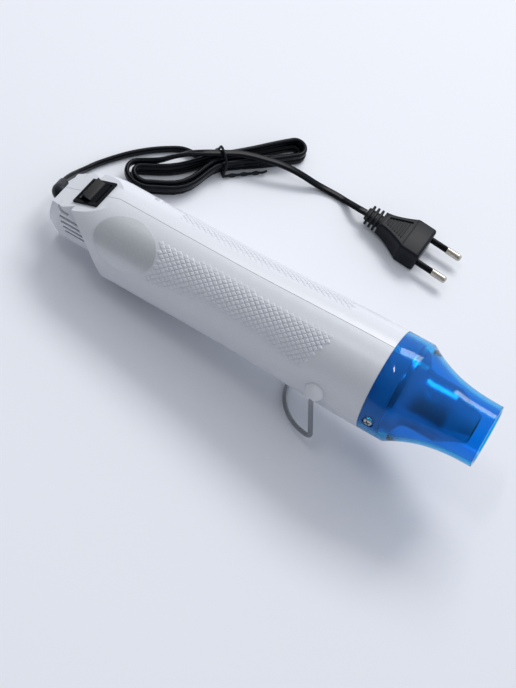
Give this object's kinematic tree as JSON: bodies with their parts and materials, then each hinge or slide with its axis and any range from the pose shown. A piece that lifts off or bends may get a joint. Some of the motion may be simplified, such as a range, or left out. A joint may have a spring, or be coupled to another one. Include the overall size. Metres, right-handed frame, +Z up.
{
  "type": "embossing heat tool",
  "caption": "Slim hand-held hot-air tool with a round white handle, clear blue nozzle guard, steel nozzle, rocker switch, folding wire stand and a flat mains cord tied in a hank.",
  "frame": {"origin": "on the table under the middle of the tool's length, the tool resting nose up on its own stand", "axes": "+X from the rear cap towards the nozzle, +Z up, +Y to the side where the cord lies"},
  "size_m": [0.2534, 0.1615, 0.0723],
  "materials": {
    "white_abs": "moulded ABS with a soft satin gloss",
    "blue_polycarbonate": "polished translucent polycarbonate",
    "screw_steel": "zinc plated",
    "nozzle_steel": "drawn sheet steel",
    "mica": "pressed mica sheet",
    "heating_wire": "oxidised nickel chrome",
    "terminal_metal": "tinned",
    "ivory_nylon": "moulded",
    "copper_winding": "enamelled copper",
    "motor_steel": "zinc plated can",
    "ferrite": "sintered ferrite",
    "black_plastic": "polished moulding",
    "bronze": "sintered bronze and brass",
    "board_laminate": "glass fibre laminate",
    "black_pvc": "satin PVC",
    "stand_steel": "drawn wire",
    "silver_label": "bare foil label",
    "brown_wire": "PVC insulation",
    "blue_wire": "PVC insulation",
    "pin_nickel": "nickel plated brass"
  },
  "bodies": {
    "housing": {"housing_right": "white_abs", "housing_left": "white_abs", "nozzle_shield": "blue_polycarbonate", "shield_screws": "screw_steel", "steel_nozzle": "nozzle_steel", "heater_base": "mica", "mica_plate_upright": "mica", "mica_plate_flat": "mica", "mica_sleeve": "mica", "heater_coil": "heating_wire", "heater_terminals": "terminal_metal", "thermal_cutout": "terminal_metal", "fan_duct": "ivory_nylon", "motor_can": "motor_steel", "motor_magnets": "ferrite", "motor_end_cap": "black_plastic", "motor_bearings": "bronze", "motor_screws": "screw_steel", "rectifier_board": "board_laminate", "rectifier_diodes": "black_plastic", "switch_body": "black_plastic", "switch_terminals": "bronze", "cord_boot": "black_pvc", "cord_inner_end": "black_pvc", "cord_clamp": "white_abs", "clamp_screws": "screw_steel", "housing_screws": "screw_steel", "rating_label": "silver_label", "wire_live": "brown_wire", "wire_neutral": "blue_wire", "wire_switched": "brown_wire", "cord_lead": "black_pvc", "cord_hank": "black_pvc", "cord_tail": "black_pvc", "cord_tie": "black_pvc", "plug_body": "black_pvc", "plug_pins": "pin_nickel", "plug_sleeves": "black_plastic"},
    "stand": {"stand_wire": "stand_steel"},
    "rocker": {"switch_rocker": "black_plastic"},
    "rotor": {"fan_impeller": "ivory_nylon", "motor_shaft": "screw_steel", "motor_core": "copper_winding"}
  },
  "joints": [
    {"name": "stand_fold", "type": "hinge", "parent": "housing", "child": "stand", "pos_m": [0.04049, 0, 0.03909], "axis": [0, -1, 0], "range_deg": [0, 80]},
    {"name": "rocker_tilt", "type": "hinge", "parent": "housing", "child": "rocker", "pos_m": [-0.10412, 0, 0.03787], "axis": [0, -1, 0], "range_deg": [0, 16]},
    {"name": "fan_spin", "type": "hinge", "parent": "housing", "child": "rotor", "pos_m": [-0.03506, 0, 0.03065], "axis": [0.9906, 0, 0.1371], "continuous": true}
  ]
}
